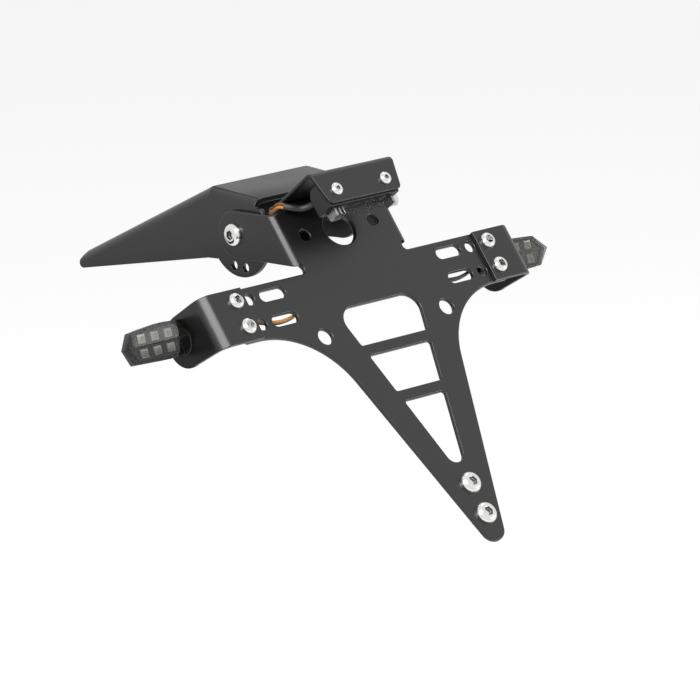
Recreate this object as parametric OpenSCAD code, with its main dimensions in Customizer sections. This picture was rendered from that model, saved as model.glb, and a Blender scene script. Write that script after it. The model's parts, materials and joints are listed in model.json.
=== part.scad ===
// Tail tidy: a folded sheet carrier for a number plate, tilting on a bracket under the tail,
// with two lamps on folded side brackets and a plate lamp under a small hood.
// Millimetres. +X is the right side, +Y is forward, +Z is up.
// The origin is the middle of the four mounting holes, on the top face of the tail bracket.

/* [Tail bracket] */
// Thickness of the folded tail bracket
tail_sheet = 3; // [2:0.5:4]
// Radius of the round cheek about the pivot
cheek_r = 25.1; // [22:0.1:27]
// Height of the flat roof above the pivot
roof_above_pivot = 21.7; // [18:0.1:24]
// Length of the flat roof ahead of the pivot
roof_ahead_of_pivot = 26.5; // [15:0.5:40]
// Angle at which the front of the roof slopes down
roof_slope = 28.1; // [20:0.1:35]
// Angle at which the lower edge of the cheeks slopes down
cheek_slope = 14.2; // [8:0.1:18]
// Drop from the pivot to where the lower edge starts
cheek_drop = 19.3; // [14:0.1:22]
// Reach of the bracket ahead of the pivot
tail_reach = 141; // [110:1:160]
// Radius of the right cheek's round end about the pivot
right_end_r = 16; // [14:0.1:18]
// Diameter of the circle through the four mounting holes
mount_pcd = 56; // [40:1:64]
// Diameter of a mounting hole
mount_hole_d = 6.6; // [5.5:0.1:8.4]
// Distance of the mounting holes' centre from the knee of the roof
mount_from_knee = 60; // [45:1:75]
// Diameter of the locking holes in the cheeks
lock_hole_d = 5.2; // [4:0.1:6]
// Radius of the arc on which the locking holes lie
lock_arc_r = 19.6; // [15:0.1:21]

/* [Carrier] */
// Thickness of the carrier sheet
carrier_sheet = 3; // [2:0.5:4]
// Tilt of the carrier from upright, with its tip rearward
tilt = 40.6; // [25:0.1:55]
// Half of the width over the carrier's side cheeks
neck_half = 42.7; // [38:0.1:50]
// Height of the pivot above the upper row of arm bolts, along the carrier
pivot_above_row = 52.2; // [48:0.1:56]
// Distance from the pivot to the carrier's rear face
pivot_to_face = 33.3; // [31:0.1:38]
// Radius of a cheek's round end about the pivot
ear_r = 13.5; // [11:0.1:16]
// Angle of a cheek from square to the carrier
ear_angle = 35.5; // [25:0.1:42]
// Height of the neck's top edge above the upper row of arm bolts
neck_top = 50; // [48:0.1:54]
// Half of the length over the arms
arm_half = 99; // [96:0.5:103]
// Height of the arms' upper edge above the upper row of bolts
arm_rise = 7.5; // [6:0.1:10]
// Depth of the arms' lower edge under the upper row of bolts
arm_drop = 24.2; // [22:0.1:28]
// Radius of the sweep from the arms into the tail of the carrier
sweep_r = 52; // [40:1:60]
// Depth of the tip's centre under the upper row of bolts
tip_drop = 162.1; // [155:0.1:175]
// Radius of the round tip
tip_r = 8.1; // [7:0.1:10]
// Lean of the tail's outer edges
tail_lean = 16.9; // [15:0.1:18]
// Width of the bars between the windows
bar_w = 6.8; // [5:0.1:9]

/* [Lamp brackets] */
// Thickness of a lamp bracket
side_sheet = 2.5; // [2:0.5:4]
// Distance from the arm's end back to a lamp bracket's inner edge
flange_start = 11.5; // [10:0.5:14]
// Distance from the arm's end out to a lamp bracket's outer face
leg_out = 18.5; // [13:0.1:21]
// Distance of a leg's round end ahead of the carrier's rear face
leg_reach = 25; // [22:0.5:30]
// Radius of a leg's round end
leg_end_r = 15; // [12:0.1:16]
// Depth of a leg's round end under the upper row of arm bolts
leg_end_drop = 5.5; // [4:0.1:8]

/* [Side lamps] */
// Length of a side lamp
lamp_len = 41; // [36:0.5:48]
// Greatest height of a side lamp
lamp_h = 20.6; // [17:0.1:24]
// Depth of the lens in front of its rim
lens_rise = 10.5; // [8:0.1:12]
// Depth of the housing behind the rim
housing_depth = 11; // [9:0.1:14]
// Turn of a side lamp from upright
lamp_turn = 20; // [0:1:40]
// Diameter of the lamp's threaded stud
stud_d = 8; // [6:0.5:10]

/* [Plate lamp] */
// Width of the hood over the plate lamp
hood_w = 61; // [56:0.5:66]
// Reach of the hood out of the carrier's rear face
hood_reach = 32; // [28:0.5:38]
// Depth of the hood's lip
lip_depth = 20.9; // [18:0.1:26]
// Taper of each side of the lip
lip_taper = 4; // [0:0.1:6]
// Thickness of the hood sheet
hood_sheet = 2; // [1.5:0.5:2.5]
// Distance between the plate lamp's screws
lamp_screw_pitch = 36.4; // [30:0.1:44]
// Length of the plate lamp
plate_lamp_len = 51; // [46:0.5:56]

/* [Fasteners] */
// Diameter of the pivot bolts and the plate bolts
pivot_d = 6; // [5:0.5:8]
// Diameter of the arm bolts
arm_bolt_d = 5; // [4:0.5:6]
// Diameter of the plate lamp's screws
lamp_screw_d = 4; // [3:0.5:5]
// Distance between the two rows of arm bolts
row_pitch = 15.75; // [14:0.05:18]

/* [Hidden] */
$fn = 48;

// Clearances: between the two pairs of cheeks, under a pivot head, in a thread, round a bolt,
// round a pivot bolt in the cheek that turns on it, and between pieces that only lie together.
cheek_gap = 0.3;
head_gap = 0.1;
thread_gap = 0.05;
bolt_gap = 0.25;
pivot_gap = 0.05;
lay_gap = 0.3;

// Folds
bend_inner = 1.5;
fold_tight = 0.5;
tail_bend = tail_sheet + bend_inner;
neck_bend = carrier_sheet + bend_inner;
side_bend = side_sheet + bend_inner;
hood_bend = hood_sheet + bend_inner;

// Tail bracket, measured from the pivot
cheek_out = neck_half - carrier_sheet - cheek_gap;
cheek_in = cheek_out - tail_sheet;
roof_start = -sqrt(cheek_r * cheek_r - roof_above_pivot * roof_above_pivot) + 0.2;
tip_chamfer = 5;
tip_top = roof_above_pivot - (tail_reach - roof_ahead_of_pivot) * tan(roof_slope);
tip_corner = [tail_reach - tip_chamfer, tip_top + tip_chamfer * tan(roof_slope)];
nose = [tail_reach, tip_top - 0.7 * tip_chamfer];
roof_short = 16;
tip_height = 8.5;
edge_at_tip = min(-cheek_drop - (tail_reach - roof_ahead_of_pivot) * tan(cheek_slope), tip_top - tip_height);
mount_y = roof_ahead_of_pivot + mount_from_knee * cos(roof_slope);
mount_z = roof_above_pivot - mount_from_knee * sin(roof_slope);
lock_angles = [-78.5, -107];

// Carrier, in its own plane: x to the right, y up the carrier, z out of its rear face
pivot_y = pivot_above_row;
pivot_z = -pivot_to_face;
ear_half = ear_r - 0.04;
ear_foot = ear_r / cos(ear_angle);
ear_root_y = pivot_y - (pivot_to_face - carrier_sheet / 2) * tan(ear_angle);
shoulder_y = ear_root_y + ear_foot;
relief_low = arm_rise;
relief_high = ear_root_y - ear_foot;
relief_r = (relief_high - relief_low) / 2;
relief_x = neck_half - neck_bend + relief_r - 0.9;
tab_half = hood_w / 2;
tip_y = -tip_drop;
seat_r = tip_r - 0.04;
arm_corner_r = 2;
sweep_x = (sweep_r + tip_r + (tip_drop - arm_drop - sweep_r) * sin(tail_lean)) / cos(tail_lean);
sweep_y = -arm_drop - sweep_r;

// Windows in the tail of the carrier: top, bottom, and corner radii
window_lean = 14.3;
window_mid_y = -72.2;
window_mid_half = 17;
window_first_low = -41.6;
window_tops = [-18, window_first_low - bar_w, window_mid_y - bar_w];
window_bottoms = [window_first_low, window_mid_y, -120.8];
window_top_radii = [9, 1.5, 1.5];
window_bottom_radii = [1.5, 1.5, 5.4];

// Slots and holes in the carrier
slot_x = 66.4;
slot_len = 18;
slot_w = 6.5;
small_hole_x = 83.2;
small_hole_d = 6.4;
arm_bolt_inset = 4;
arm_bolt_x = arm_half - arm_bolt_inset;
plate_hole_x = 45.8;
plate_hole_y = -31.4;
plate_hole_d = 9.4;
cable_hole_y = 28.9;
cable_hole_d = 20.8;
hood_screw_x = 25.5;
hood_screw_y = 29.2;
hood_nut_d = 7;
hood_screw_d = 5;
plate_bolt_ys = [-134.5, -153.6];

// Side brackets
flange_x = arm_half - flange_start;
leg_x = arm_half + leg_out;
leg_in = leg_x - side_sheet;
stud_y = -leg_end_drop;
stud_z = -leg_reach;

// Side lamps, along x from the base, y up the lamp, z rearward from the stud
rim_z = 0;
lamp_lift = 3;
collar_d = 15;
collar_len = 1.2;
stud_len = 13;
stud_bore_d = 4;
led_size = 3.6;
led_rise = 0.7;
led_columns = [7, 15, 23];
led_rows = [-3.8, 3.8];
board_t = 1;
lens_wall_share = 0.86;

// Hood and plate lamp
shelf_low = neck_top + 0.7;
shelf_top = shelf_low + hood_sheet;
hood_foot = 20;
lip_low = shelf_top - lip_depth;
lip_in = hood_reach - hood_sheet;
lamp_screw_y = 39.3;
housing_low = lip_low - 1;
housing_top = 46.5;
housing_front = 17;
lens_drop = 6.4;
lens_wall = 1.4;
lens_len = plate_lamp_len - 4;

// Fasteners: widths of hexagons, heads and sockets
pivot_head_d = 2.15 * pivot_d;
pivot_head_h = 0.55 * pivot_d;
pivot_nut_w = 1.67 * pivot_d;
pivot_nut_h = 0.9 * pivot_d;
arm_head_d = 1.9 * arm_bolt_d;
arm_head_h = 0.55 * arm_bolt_d;
arm_nut_w = 1.6 * arm_bolt_d;
arm_nut_h = 0.8 * arm_bolt_d;
lamp_head_d = 1.9 * lamp_screw_d;
lamp_head_h = 0.55 * lamp_screw_d;
stud_nut_w = 1.62 * stud_d;
stud_nut_h = 0.75 * stud_d;

// Leads: diameter, sides of a tube, and routes as points chosen by hand in the carrier's frame
lead_d = 1.8;
lead_sides = 8;
lead_steps = 2;
lead_spread = 0.53 * lead_d;
connector_size = [20, 9, 24];
connector_at = [0, 62, -66];
left_route = [[-108, -5.5, -25], [-102, -5.5, -25], [-96, -6, -19], [-90, -8, -11], [-83, -11, -6],
    [-74, -14, -5.2], [-65, -15, -5.2], [-55, -12, -5.2], [-45, -4, -5.2], [-38, 6, -5.2], [-35.5, 16, -5.2],
    [-35, 26, -5.2], [-35, 35, -5.2], [-34, 41, -7], [-32, 44, -13], [-28, 46, -21], [-20, 52, -31],
    [-11, 59, -39], [-6, 62, -46], [-6, 62, -50], [-6, 62, -54]];
right_route = [[108, -5.5, -25], [102, -5.5, -25], [96, -6, -19], [90, -8, -11], [83, -11, -6],
    [74, -14, -5.2], [65, -15, -5.2], [55, -12, -5.2], [45, -4, -5.2], [38, 6, -5.2], [35.5, 16, -5.2],
    [35, 26, -5.2], [35, 35, -5.2], [34, 41, -7], [32, 44, -13], [28, 46, -21], [20, 52, -31],
    [11, 59, -39], [6, 62, -46], [6, 62, -50], [6, 62, -54]];
lamp_route = [[-20, 42, 17], [-20, 42, 14], [-20, 42, 11], [-24, 43, 6], [-30, 46, 4], [-34, 49.5, 1],
    [-34, 50, -4], [-33, 51, -8], [-29, 49.5, -13], [-20, 50, -22], [-10, 55, -33], [-2, 61, -42],
    [0, 62, -46], [0, 62, -50], [0, 62, -54]];

// Frames and directions
module from_pivot() {
    translate([0, -mount_y, -mount_z]) children();
}

module on_carrier() {
    from_pivot() rotate([90 - tilt, 0, 0]) translate([0, -pivot_y, -pivot_z]) children();
}

// Extrudes a y-z outline along x
module along_x(start, stop) {
    translate([start, 0, 0]) rotate([90, 0, 90]) linear_extrude(stop - start) children();
}

// Extrudes an x-z outline along y
module along_y(start, stop) {
    translate([0, stop, 0]) rotate([90, 0, 0]) linear_extrude(stop - start) children();
}

module both_sides() {
    children();
    mirror([1, 0, 0]) children();
}

// Rounded outlines
function unit(v) = v / norm(v);

function corner(before, at, after, r, steps) =
    let (
        a = unit(before - at),
        b = unit(after - at),
        half = acos(a * b) / 2,
        middle = at + unit(a + b) * r / sin(half),
        from = at + a * r / tan(half) - middle,
        to = at + b * r / tan(half) - middle,
        start = atan2(from.y, from.x),
        turn = (atan2(to.y, to.x) - start + 540) % 360 - 180
    )
    [for (i = [0:steps]) middle + r * [cos(start + turn * i / steps), sin(start + turn * i / steps)]];

function rounded(points, radii, steps = 8) =
    let (n = len(points))
    [for (i = [0:n - 1])
        each radii[i] > 0
            ? corner(points[(i + n - 1) % n], points[i], points[(i + 1) % n], radii[i], steps)
            : [points[i]]];

module slot(length, width) {
    square([length - width, width], center = true);
    for (side = [-1, 1]) translate([side * (length - width) / 2, 0]) circle(d = width);
}

// A folded channel seen along its length, or the room inside it: a web at the top and two walls
module channel_outline(half_width, bend, depth, drop = 0) {
    polygon(rounded([[-half_width, -depth], [-half_width, -drop], [half_width, -drop], [half_width, -depth]],
        [0, bend, bend, 0]));
}

module channel_section(half_width, sheet, bend, depth) {
    difference() {
        channel_outline(half_width, bend, depth);
        channel_outline(half_width - sheet, bend - sheet, depth + 1, sheet);
    }
}

// Fasteners, with the seat of the head or nut at z = 0 and the head above it
module button_head(d, head_d, head_h) {
    socket_w = 0.62 * d;
    difference() {
        rotate_extrude() polygon(concat([[0, 0], [head_d / 2, 0], [head_d / 2, 0.18 * head_h]],
            [for (i = [1:6]) [0.26 * head_d + 0.24 * head_d * cos(15 * i), head_h * (0.18 + 0.82 * sin(15 * i))]],
            [[0, head_h]]));
        translate([0, 0, 0.4 * head_h]) cylinder(d = socket_w / cos(30), h = head_h, $fn = 6);
    }
}

module button_bolt(d, head_d, head_h, length) {
    button_head(d, head_d, head_h);
    translate([0, 0, -length]) cylinder(d = d, h = length + 0.1 * head_h);
}

module hex_nut(width, height, bore_d) {
    difference() {
        intersection() {
            cylinder(d = width / cos(30), h = height, $fn = 6);
            rotate_extrude() polygon([[0, 0], [0.56 * width, 0], [0.56 * width, 0.8 * height],
                [0.5 * width, height], [0, height]]);
        }
        translate([0, 0, -1]) cylinder(d = bore_d + 2 * thread_gap, h = height + 2);
    }
}

// Tail bracket: two cheeks under a roof that is flat over the pivot and slopes down ahead of it.
// The left cheek has a round lug with locking holes about the pivot.
module cheek_side() {
    seat = 0.99 * right_end_r * [cos(97), -sin(97)];
    over_tip = nose + 10 * (tip_corner - nose);
    polygon(rounded([[roof_start, roof_above_pivot + 2 * tail_sheet], over_tip, nose,
        [tail_reach, edge_at_tip], [roof_ahead_of_pivot, -cheek_drop], seat, [-0.99 * right_end_r, 0]],
        [0, 0, 2, 3, 6, 0, 0]));
}

module under_roof(half_width, bend, drop) {
    intersection() {
        translate([0, 0, roof_above_pivot]) along_y(-2 * tail_reach, 2 * tail_reach)
            channel_outline(half_width, bend, 2 * tail_reach, drop);
        translate([0, roof_ahead_of_pivot, roof_above_pivot]) rotate([-roof_slope, 0, 0])
            along_y(-3 * tail_reach, 2 * tail_reach)
            channel_outline(half_width, bend + 0.7, 3 * tail_reach, drop);
    }
}

module roof_ends() {
    half = cheek_out - tail_bend - 1.2;
    translate([-half, roof_start - cheek_r, 0]) cube([2 * half, cheek_r, 2 * roof_above_pivot]);
    translate([-half, tail_reach - roof_short, -2 * tail_reach]) cube([2 * half, tail_reach, 2 * tail_reach]);
}

module tail_bracket() {
    color("#2b2c2e") from_pivot() difference() {
        union() {
            intersection() {
                union() {
                    along_x(-cheek_out - 1, cheek_out + 1) circle(r = right_end_r);
                    along_x(-cheek_out - 1, cheek_out + 1) cheek_side();
                }
                under_roof(cheek_out, tail_bend, 0);
            }
            intersection() {
                along_x(-cheek_out, -cheek_in) circle(r = cheek_r);
                translate([-2 * cheek_out, -2 * cheek_r, -2 * cheek_r])
                    cube([2 * cheek_out, 4 * cheek_r, 2 * cheek_r + roof_above_pivot - tail_bend]);
            }
        }
        under_roof(cheek_in, tail_bend - tail_sheet, tail_sheet);
        roof_ends();
        along_x(-cheek_out - 1, cheek_out + 1) circle(d = pivot_d + 2 * pivot_gap);
        along_x(-cheek_out - 1, -cheek_in + 1)
            for (a = lock_angles) rotate(a) translate([lock_arc_r, 0]) circle(d = lock_hole_d);
        translate([0, mount_y, mount_z]) rotate([-roof_slope, 0, 0])
            for (a = [45:90:315]) rotate(a) translate([mount_pcd / 2, 0, -2 * tail_sheet])
            cylinder(d = mount_hole_d, h = 3 * tail_sheet);
    }
}

// Carrier: one sheet with a neck, two arms, a tapering tail and two cheeks folded forward
module carrier_outline() {
    translate([-neck_half, -arm_drop]) square([2 * neck_half, shoulder_y + arm_drop]);
    translate([-tab_half, 0]) square([2 * tab_half, neck_top]);
    polygon(rounded([[-arm_half, -arm_drop], [-arm_half, arm_rise], [arm_half, arm_rise],
        [arm_half, -arm_drop]], [arm_corner_r, arm_corner_r, arm_corner_r, arm_corner_r]));
    translate([0, tip_y]) circle(r = tip_r);
    both_sides() difference() {
        polygon([[0, -arm_drop + 1], [sweep_x, -arm_drop + 1], [sweep_x, -arm_drop],
            [sweep_x - sweep_r * cos(tail_lean), sweep_y + sweep_r * sin(tail_lean)],
            [seat_r * cos(tail_lean), tip_y - seat_r * sin(tail_lean)], [0, tip_y]]);
        translate([sweep_x, sweep_y]) circle(r = sweep_r, $fn = 96);
    }
}

function window_half(y) = window_mid_half + (y - window_mid_y) * tan(window_lean);

module window_outline(top, bottom, top_r, bottom_r) {
    polygon(rounded([[-window_half(bottom), bottom], [-window_half(top), top],
        [window_half(top), top], [window_half(bottom), bottom]], [bottom_r, top_r, top_r, bottom_r]));
}

module carrier_cuts() {
    for (i = [0:len(window_tops) - 1])
        window_outline(window_tops[i], window_bottoms[i], window_top_radii[i], window_bottom_radii[i]);
    translate([0, cable_hole_y]) circle(d = cable_hole_d);
    for (y = plate_bolt_ys) translate([0, y]) circle(d = pivot_d + 2 * bolt_gap);
    both_sides() {
        for (y = [0, -row_pitch]) {
            translate([slot_x, y]) slot(slot_len, slot_w);
            translate([small_hole_x, y]) circle(d = small_hole_d);
            translate([arm_bolt_x, y]) circle(d = arm_bolt_d + 2 * bolt_gap);
        }
        translate([plate_hole_x, plate_hole_y]) circle(d = plate_hole_d);
        translate([hood_screw_x, hood_screw_y]) circle(d = hood_nut_d);
        translate([relief_x, relief_low + relief_r]) circle(r = relief_r);
        translate([relief_x, relief_low]) square([2 * neck_bend, 2 * relief_r]);
    }
}

module ears() {
    both_sides() translate([0, pivot_y, pivot_z]) {
        along_x(neck_half - neck_bend, neck_half + 1) circle(r = ear_r);
        along_x(neck_half - neck_bend, neck_half + 1)
            rotate(90 + ear_angle) translate([0, -ear_half]) square([2 * pivot_to_face, 2 * ear_half]);
    }
}

module carrier_plate() {
    color("#2b2c2e") on_carrier() difference() {
        union() {
            intersection() {
                translate([0, 0, -carrier_sheet]) linear_extrude(carrier_sheet) difference() {
                    carrier_outline();
                    carrier_cuts();
                }
                union() {
                    translate([neck_bend - neck_half, -2 * tip_drop, -2 * carrier_sheet])
                        cube([2 * (neck_half - neck_bend), 4 * tip_drop, 3 * carrier_sheet]);
                    translate([-2 * arm_half, -2 * tip_drop, -2 * carrier_sheet])
                        cube([4 * arm_half, 2 * tip_drop + relief_high - 1, 3 * carrier_sheet]);
                }
            }
            intersection() {
                along_y(0, 2 * neck_top)
                    channel_section(neck_half, carrier_sheet, neck_bend, 3 * ear_r + pivot_to_face);
                ears();
            }
        }
        translate([0, pivot_y, pivot_z]) along_x(-neck_half - 1, neck_half + 1)
            circle(d = pivot_d + 2 * pivot_gap);
    }
}

// Hood: a foot behind the neck, a shelf over its top edge and a lip that carries the plate lamp
module hood_section() {
    polygon(rounded([[hood_foot, -carrier_sheet - hood_sheet], [shelf_top, -carrier_sheet - hood_sheet],
        [shelf_top, hood_reach], [lip_low, hood_reach], [lip_low, lip_in], [shelf_low, lip_in],
        [shelf_low, -carrier_sheet], [hood_foot, -carrier_sheet]],
        [0, hood_sheet + fold_tight, hood_bend, 0, 0, bend_inner, fold_tight, 0]));
}

module lip_outline() {
    polygon(rounded([[-tab_half, shelf_top + 1], [tab_half, shelf_top + 1], [tab_half, shelf_top - hood_bend],
        [tab_half - lip_taper, lip_low], [lip_taper - tab_half, lip_low], [-tab_half, shelf_top - hood_bend]],
        [0, 0, 0, 3, 3, 0]));
}

module lamp_hood() {
    color("#2b2c2e") on_carrier() difference() {
        intersection() {
            along_x(-tab_half, tab_half) hood_section();
            union() {
                translate([-tab_half, 0, -2 * hood_reach]) cube([hood_w, 2 * neck_top, 2 * hood_reach + lip_in - hood_bend]);
                translate([0, 0, lip_in - hood_bend]) linear_extrude(2 * hood_bend) lip_outline();
            }
        }
        for (side = [-1, 1]) {
            translate([side * lamp_screw_pitch / 2, lamp_screw_y, lip_in - 1])
                cylinder(d = lamp_screw_d + 2 * bolt_gap, h = hood_sheet + 2);
            translate([side * hood_screw_x, hood_screw_y, -carrier_sheet - hood_sheet - 1])
                cylinder(d = hood_screw_d + 2 * bolt_gap, h = hood_sheet + 2);
        }
        translate([0, cable_hole_y, -carrier_sheet - hood_sheet - 1])
            cylinder(d = cable_hole_d + 3, h = hood_sheet + 2);
    }
}

module hood_screws() {
    color("#c9cbcc") on_carrier() for (side = [-1, 1])
        translate([side * hood_screw_x, hood_screw_y, -carrier_sheet - hood_sheet]) mirror([0, 0, 1])
        button_bolt(hood_screw_d, arm_head_d, arm_head_h, hood_sheet + carrier_sheet - 0.9);
}

module hood_nuts() {
    color("#c9cbcc") on_carrier() for (side = [-1, 1])
        translate([side * hood_screw_x, hood_screw_y, -carrier_sheet]) difference() {
            cylinder(d = hood_nut_d - 2 * thread_gap, h = carrier_sheet - 0.6);
            translate([0, 0, -1]) cylinder(d = hood_screw_d + 2 * thread_gap, h = carrier_sheet + 2);
        }
}

// Plate lamp: a black housing under the lip, a board with light chips and a clear lens below it
module housing_outline() {
    polygon(rounded([[housing_low, housing_front], [housing_low, lip_in], [housing_top, lip_in],
        [housing_top, housing_front + 3], [housing_top - 4, housing_front]], [0, 0, 1, 2, 2]));
}

module lens_outline() {
    polygon(rounded([[housing_low, housing_front + 1], [housing_low, lip_in - 1],
        [housing_low - lens_drop + 2, lip_in - 1], [housing_low - lens_drop, lip_in - 4],
        [housing_low - 3, housing_front + 1]], [0, 0, 1, 1, 1]));
}

module plate_lamp_housing() {
    color("#1d1e1f") on_carrier() difference() {
        along_x(-plate_lamp_len / 2, plate_lamp_len / 2) housing_outline();
        for (side = [-1, 1]) translate([side * lamp_screw_pitch / 2, lamp_screw_y, lip_in - 8])
            cylinder(d = lamp_screw_d + 2 * thread_gap, h = 9);
        translate([-lens_len / 2 + lens_wall, housing_low - 1, housing_front + 1 + lens_wall])
            cube([lens_len - 2 * lens_wall, 1 + 2 * board_t, lip_in - housing_front - 2 - 2 * lens_wall]);
    }
}

module plate_lamp_lens() {
    color("#e4e9ea") on_carrier() difference() {
        along_x(-lens_len / 2, lens_len / 2) lens_outline();
        along_x(lens_wall - lens_len / 2, lens_len / 2 - lens_wall) intersection() {
            translate([0, lens_wall]) lens_outline();
            translate([0, lens_wall + housing_front + 1]) square([neck_top, lip_in - housing_front - 2 - 2 * lens_wall]);
        }
        translate([lens_wall - lens_len / 2, housing_low - 1, housing_front + 1 + lens_wall])
            cube([lens_len - 2 * lens_wall, 2, lip_in - housing_front - 2 - 2 * lens_wall]);
    }
}

module plate_lamp_board() {
    chip = 3;
    depth = lip_in - housing_front - 2 - 2 * lens_wall - 2 * bolt_gap;
    color("#dfe2dc") on_carrier() {
        translate([-lens_len / 2 + lens_wall + bolt_gap, housing_low + board_t, housing_front + 1 + lens_wall + bolt_gap])
            cube([lens_len - 2 * lens_wall - 2 * bolt_gap, board_t, depth]);
        for (x = [-15:10:15])
            translate([x - chip / 2, housing_low + 0.3, (housing_front + lip_in - chip) / 2])
            cube([chip, board_t, chip]);
    }
}

module plate_lamp_screws() {
    color("#c9cbcc") on_carrier() for (side = [-1, 1])
        translate([side * lamp_screw_pitch / 2, lamp_screw_y, hood_reach])
        button_bolt(lamp_screw_d, lamp_head_d, lamp_head_h, hood_sheet + 6);
}

// Side brackets: a flange on the arm's rear face, folded forward into a round-ended leg
module side_bracket() {
    color("#2b2c2e") on_carrier() difference() {
        intersection() {
            along_y(-2 * arm_drop, 2 * arm_rise)
                polygon(rounded([[flange_x, 0], [flange_x, side_sheet], [leg_x, side_sheet],
                    [leg_x, -2 * leg_reach], [leg_in, -2 * leg_reach], [leg_in, 0]],
                    [0, 0, side_bend, 0, 0, bend_inner]));
            union() {
                along_x(0, 2 * leg_x) polygon([[-arm_drop, side_sheet], [arm_rise, side_sheet],
                    [arm_rise, 0], [leg_end_r - leg_end_drop, -leg_reach],
                    [-leg_end_r - leg_end_drop, -leg_reach], [-arm_drop, 0]]);
                translate([0, -leg_end_drop, -leg_reach]) along_x(0, 2 * leg_x) circle(r = leg_end_r);
            }
        }
        for (y = [0, -row_pitch]) translate([arm_bolt_x, y, -1])
            cylinder(d = arm_bolt_d + 2 * bolt_gap, h = side_sheet + 2);
        translate([0, stud_y, stud_z]) along_x(leg_in - 1, leg_x + 1) circle(d = stud_d + 2 * bolt_gap);
    }
}

module side_bracket_left() {
    mirror([1, 0, 0]) side_bracket();
}

module side_bracket_right() {
    side_bracket();
}

// Side lamps, drawn for the right side, with the base on the leg's collar
module at_stud() {
    on_carrier() translate([leg_x + collar_len, stud_y, stud_z]) rotate([tilt - lamp_turn, 0, 0]) children();
}

module at_lamp() {
    at_stud() translate([0, lamp_lift, 0]) children();
}

function lamp_outline() = [[0, -0.47 * lamp_h], [0, 0.47 * lamp_h], [0.25 * lamp_len, 0.5 * lamp_h],
    [0.82 * lamp_len, 0.41 * lamp_h], [lamp_len, 0], [0.86 * lamp_len, -0.45 * lamp_h],
    [0.25 * lamp_len, -0.5 * lamp_h]];

module lens_solid() {
    rim = [for (p = lamp_outline()) [p.x, p.y, rim_z]];
    ridge = [[0.02 * lamp_len, 0, rim_z + lens_rise], [0.93 * lamp_len, 0, rim_z + 0.5 * lens_rise]];
    polyhedron(points = concat(rim, ridge), faces = [[0, 6, 5, 4, 3, 2, 1], [0, 1, 7], [1, 2, 7],
        [2, 3, 8], [2, 8, 7], [3, 4, 8], [4, 5, 8], [5, 6, 8], [6, 7, 8], [6, 0, 7]]);
}

module side_lamp_lens() {
    middle = [0.45 * lamp_len, 0, rim_z];
    color("#5e655c") at_lamp() difference() {
        lens_solid();
        translate(middle) scale(lens_wall_share) translate(-middle - [0, 0, 0.5]) lens_solid();
    }
}

module board_outline(share) {
    middle = [0.45 * lamp_len, 0];
    translate(middle) scale(share) translate(-middle) polygon(lamp_outline());
}

module side_lamp_housing() {
    back = rim_z - housing_depth;
    color("#1b1c1d") at_stud() difference() {
        union() {
            translate([0, lamp_lift, 0]) intersection() {
                translate([0, 0, back]) linear_extrude(housing_depth) polygon(lamp_outline());
                along_x(0, lamp_len) polygon([[-lamp_h, rim_z], [-lamp_h, rim_z - 3], [-0.28 * lamp_h, back],
                    [0.28 * lamp_h, back], [lamp_h, rim_z - 3], [lamp_h, rim_z]]);
                along_y(-lamp_h, lamp_h) polygon([[0, rim_z], [lamp_len, rim_z], [lamp_len, rim_z - 2],
                    [0.45 * lamp_len, back], [0, back]]);
            }
            along_x(-collar_len, 0) circle(d = collar_d);
            along_x(-collar_len - side_sheet - stud_len + 2, 0) circle(d = stud_d);
        }
        translate([0, lamp_lift, rim_z - board_t]) linear_extrude(2 * board_t) board_outline(0.82);
        along_x(-collar_len - side_sheet - stud_len, 0.1 * lamp_len) circle(d = stud_bore_d);
    }
}

module side_lamp_board() {
    color("#c4c8bd") at_lamp() {
        translate([0, 0, rim_z - board_t]) linear_extrude(board_t) board_outline(0.8);
        for (x = led_columns, y = led_rows) translate([x, y, rim_z + led_rise / 2])
            cube([led_size, led_size, led_rise], center = true);
    }
}

module side_lamp_lens_left() {
    mirror([1, 0, 0]) side_lamp_lens();
}

module side_lamp_lens_right() {
    side_lamp_lens();
}

module side_lamp_housing_left() {
    mirror([1, 0, 0]) side_lamp_housing();
}

module side_lamp_housing_right() {
    side_lamp_housing();
}

module side_lamp_board_left() {
    mirror([1, 0, 0]) side_lamp_board();
}

module side_lamp_board_right() {
    side_lamp_board();
}

module stud_nut() {
    color("#c9cbcc") on_carrier() translate([leg_in, stud_y, stud_z]) rotate([0, -90, 0])
        hex_nut(stud_nut_w, stud_nut_h, stud_d);
}

module stud_nut_left() {
    mirror([1, 0, 0]) stud_nut();
}

module stud_nut_right() {
    stud_nut();
}

// Arm bolts, through the side bracket's flange and the arm
module arm_bolts() {
    color("#c9cbcc") on_carrier() for (y = [0, -row_pitch]) translate([arm_bolt_x, y, side_sheet])
        button_bolt(arm_bolt_d, arm_head_d, arm_head_h, side_sheet + carrier_sheet + arm_nut_h + 1);
}

module arm_nuts() {
    color("#c9cbcc") on_carrier() for (y = [0, -row_pitch]) translate([arm_bolt_x, y, -carrier_sheet])
        mirror([0, 0, 1]) hex_nut(arm_nut_w, arm_nut_h, arm_bolt_d);
}

module arm_bolts_left() {
    mirror([1, 0, 0]) arm_bolts();
}

module arm_bolts_right() {
    arm_bolts();
}

module arm_nuts_left() {
    mirror([1, 0, 0]) arm_nuts();
}

module arm_nuts_right() {
    arm_nuts();
}

// Plate bolts, one above the other near the tip
module plate_bolts() {
    color("#c9cbcc") on_carrier() for (y = plate_bolt_ys) translate([0, y, 0])
        button_bolt(pivot_d, pivot_head_d, pivot_head_h, carrier_sheet + pivot_nut_h + 1);
}

module plate_nuts() {
    color("#c9cbcc") on_carrier() for (y = plate_bolt_ys) translate([0, y, -carrier_sheet])
        mirror([0, 0, 1]) hex_nut(pivot_nut_w, pivot_nut_h, pivot_d);
}

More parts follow.
